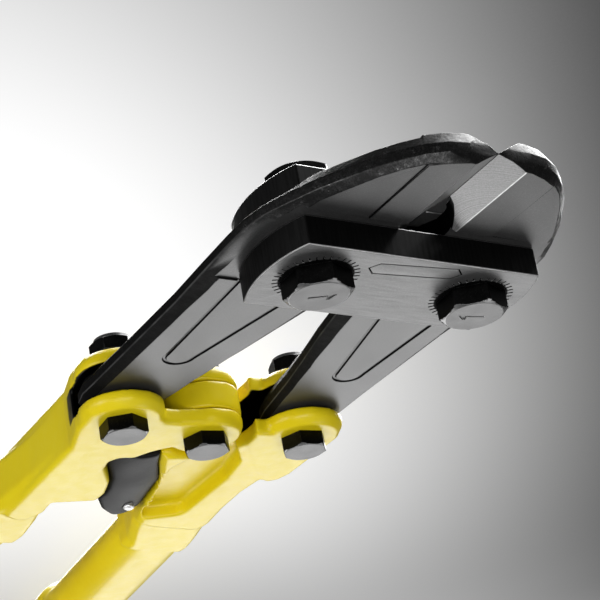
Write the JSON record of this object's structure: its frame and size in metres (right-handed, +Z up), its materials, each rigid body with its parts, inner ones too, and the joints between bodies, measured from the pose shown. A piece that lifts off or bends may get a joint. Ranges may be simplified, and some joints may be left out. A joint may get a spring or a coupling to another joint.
{
  "type": "bolt cutters",
  "caption": "Long-handled bolt cutters with forged jaws between side plates, eccentric pivot bolts, yellow forged handles, a rubber stop and rubber grips.",
  "frame": {"origin": "centre of the box the closed tool fills, at the level of the surface it lies on", "axes": "+Y from the grips towards the nose of the jaws, +X towards the right-hand jaw seen from the bolt heads, +Z up, out of the bolt heads"},
  "size_m": [0.1788, 0.6032, 0.0392],
  "materials": {
    "plate_steel": "dark phosphated steel, satin, brushed edges",
    "jaw_steel": "dark forged tool steel, ground bevels and faces",
    "fastener_steel": "gunmetal, satin",
    "handle_paint": "glossy yellow paint over a forging",
    "tube_paint": "glossy yellow paint on steel tube",
    "grip_rubber": "matt ribbed black rubber",
    "bumper_rubber": "satin black rubber"
  },
  "bodies": {
    "head": {"side_plate_near": "plate_steel", "side_plate_far": "plate_steel", "pivot_bolt_left": "fastener_steel", "pivot_bolt_right": "fastener_steel", "pivot_washer_left": "fastener_steel", "pivot_washer_right": "fastener_steel", "pivot_nut_left": "fastener_steel", "pivot_nut_right": "fastener_steel"},
    "jaw_left": {"jaw_left": "jaw_steel"},
    "jaw_right": {"jaw_right": "jaw_steel"},
    "handle_left": {"handle_left": "handle_paint", "tail_bolt_left": "fastener_steel", "tail_washer_left": "fastener_steel", "tail_nut_left": "fastener_steel", "centre_bolt": "fastener_steel", "centre_washer": "fastener_steel", "centre_nut": "fastener_steel", "tube_left": "tube_paint", "tube_pin_left": "fastener_steel", "grip_left": "grip_rubber", "grip_cap_left": "grip_rubber"},
    "handle_right": {"handle_right": "handle_paint", "tail_bolt_right": "fastener_steel", "tail_washer_right": "fastener_steel", "tail_nut_right": "fastener_steel", "bumper": "bumper_rubber", "bumper_screw": "fastener_steel", "bumper_pin": "fastener_steel", "tube_right": "tube_paint", "tube_pin_right": "fastener_steel", "grip_right": "grip_rubber", "grip_cap_right": "grip_rubber"}
  },
  "joints": [
    {"name": "jaw_left_pivot", "type": "hinge", "parent": "head", "child": "jaw_left", "pos_m": [-0.0254, 0.24814, 0.0196], "axis": [0, 0, 1], "range_deg": [0, 6.37]},
    {"name": "jaw_right_pivot", "type": "hinge", "parent": "head", "child": "jaw_right", "pos_m": [0.0254, 0.24814, 0.0196], "axis": [0, 0, -1], "range_deg": [0, 6.37]},
    {"name": "handle_left_pivot", "type": "hinge", "parent": "jaw_left", "child": "handle_left", "pos_m": [-0.0316, 0.14714, 0.0196], "axis": [0, 0, -1], "range_deg": [0, 46.37]},
    {"name": "handle_right_pivot", "type": "hinge", "parent": "jaw_right", "child": "handle_right", "pos_m": [0.0316, 0.14714, 0.0196], "axis": [0, 0, 1], "range_deg": [0, 46.37]}
  ],
  "couplings": [
    {"joint": "jaw_left_pivot", "follows": "handle_left_pivot", "ratio": 0.13743},
    {"joint": "jaw_right_pivot", "follows": "handle_left_pivot", "ratio": 0.13743},
    {"joint": "handle_right_pivot", "follows": "handle_left_pivot", "ratio": 1}
  ]
}
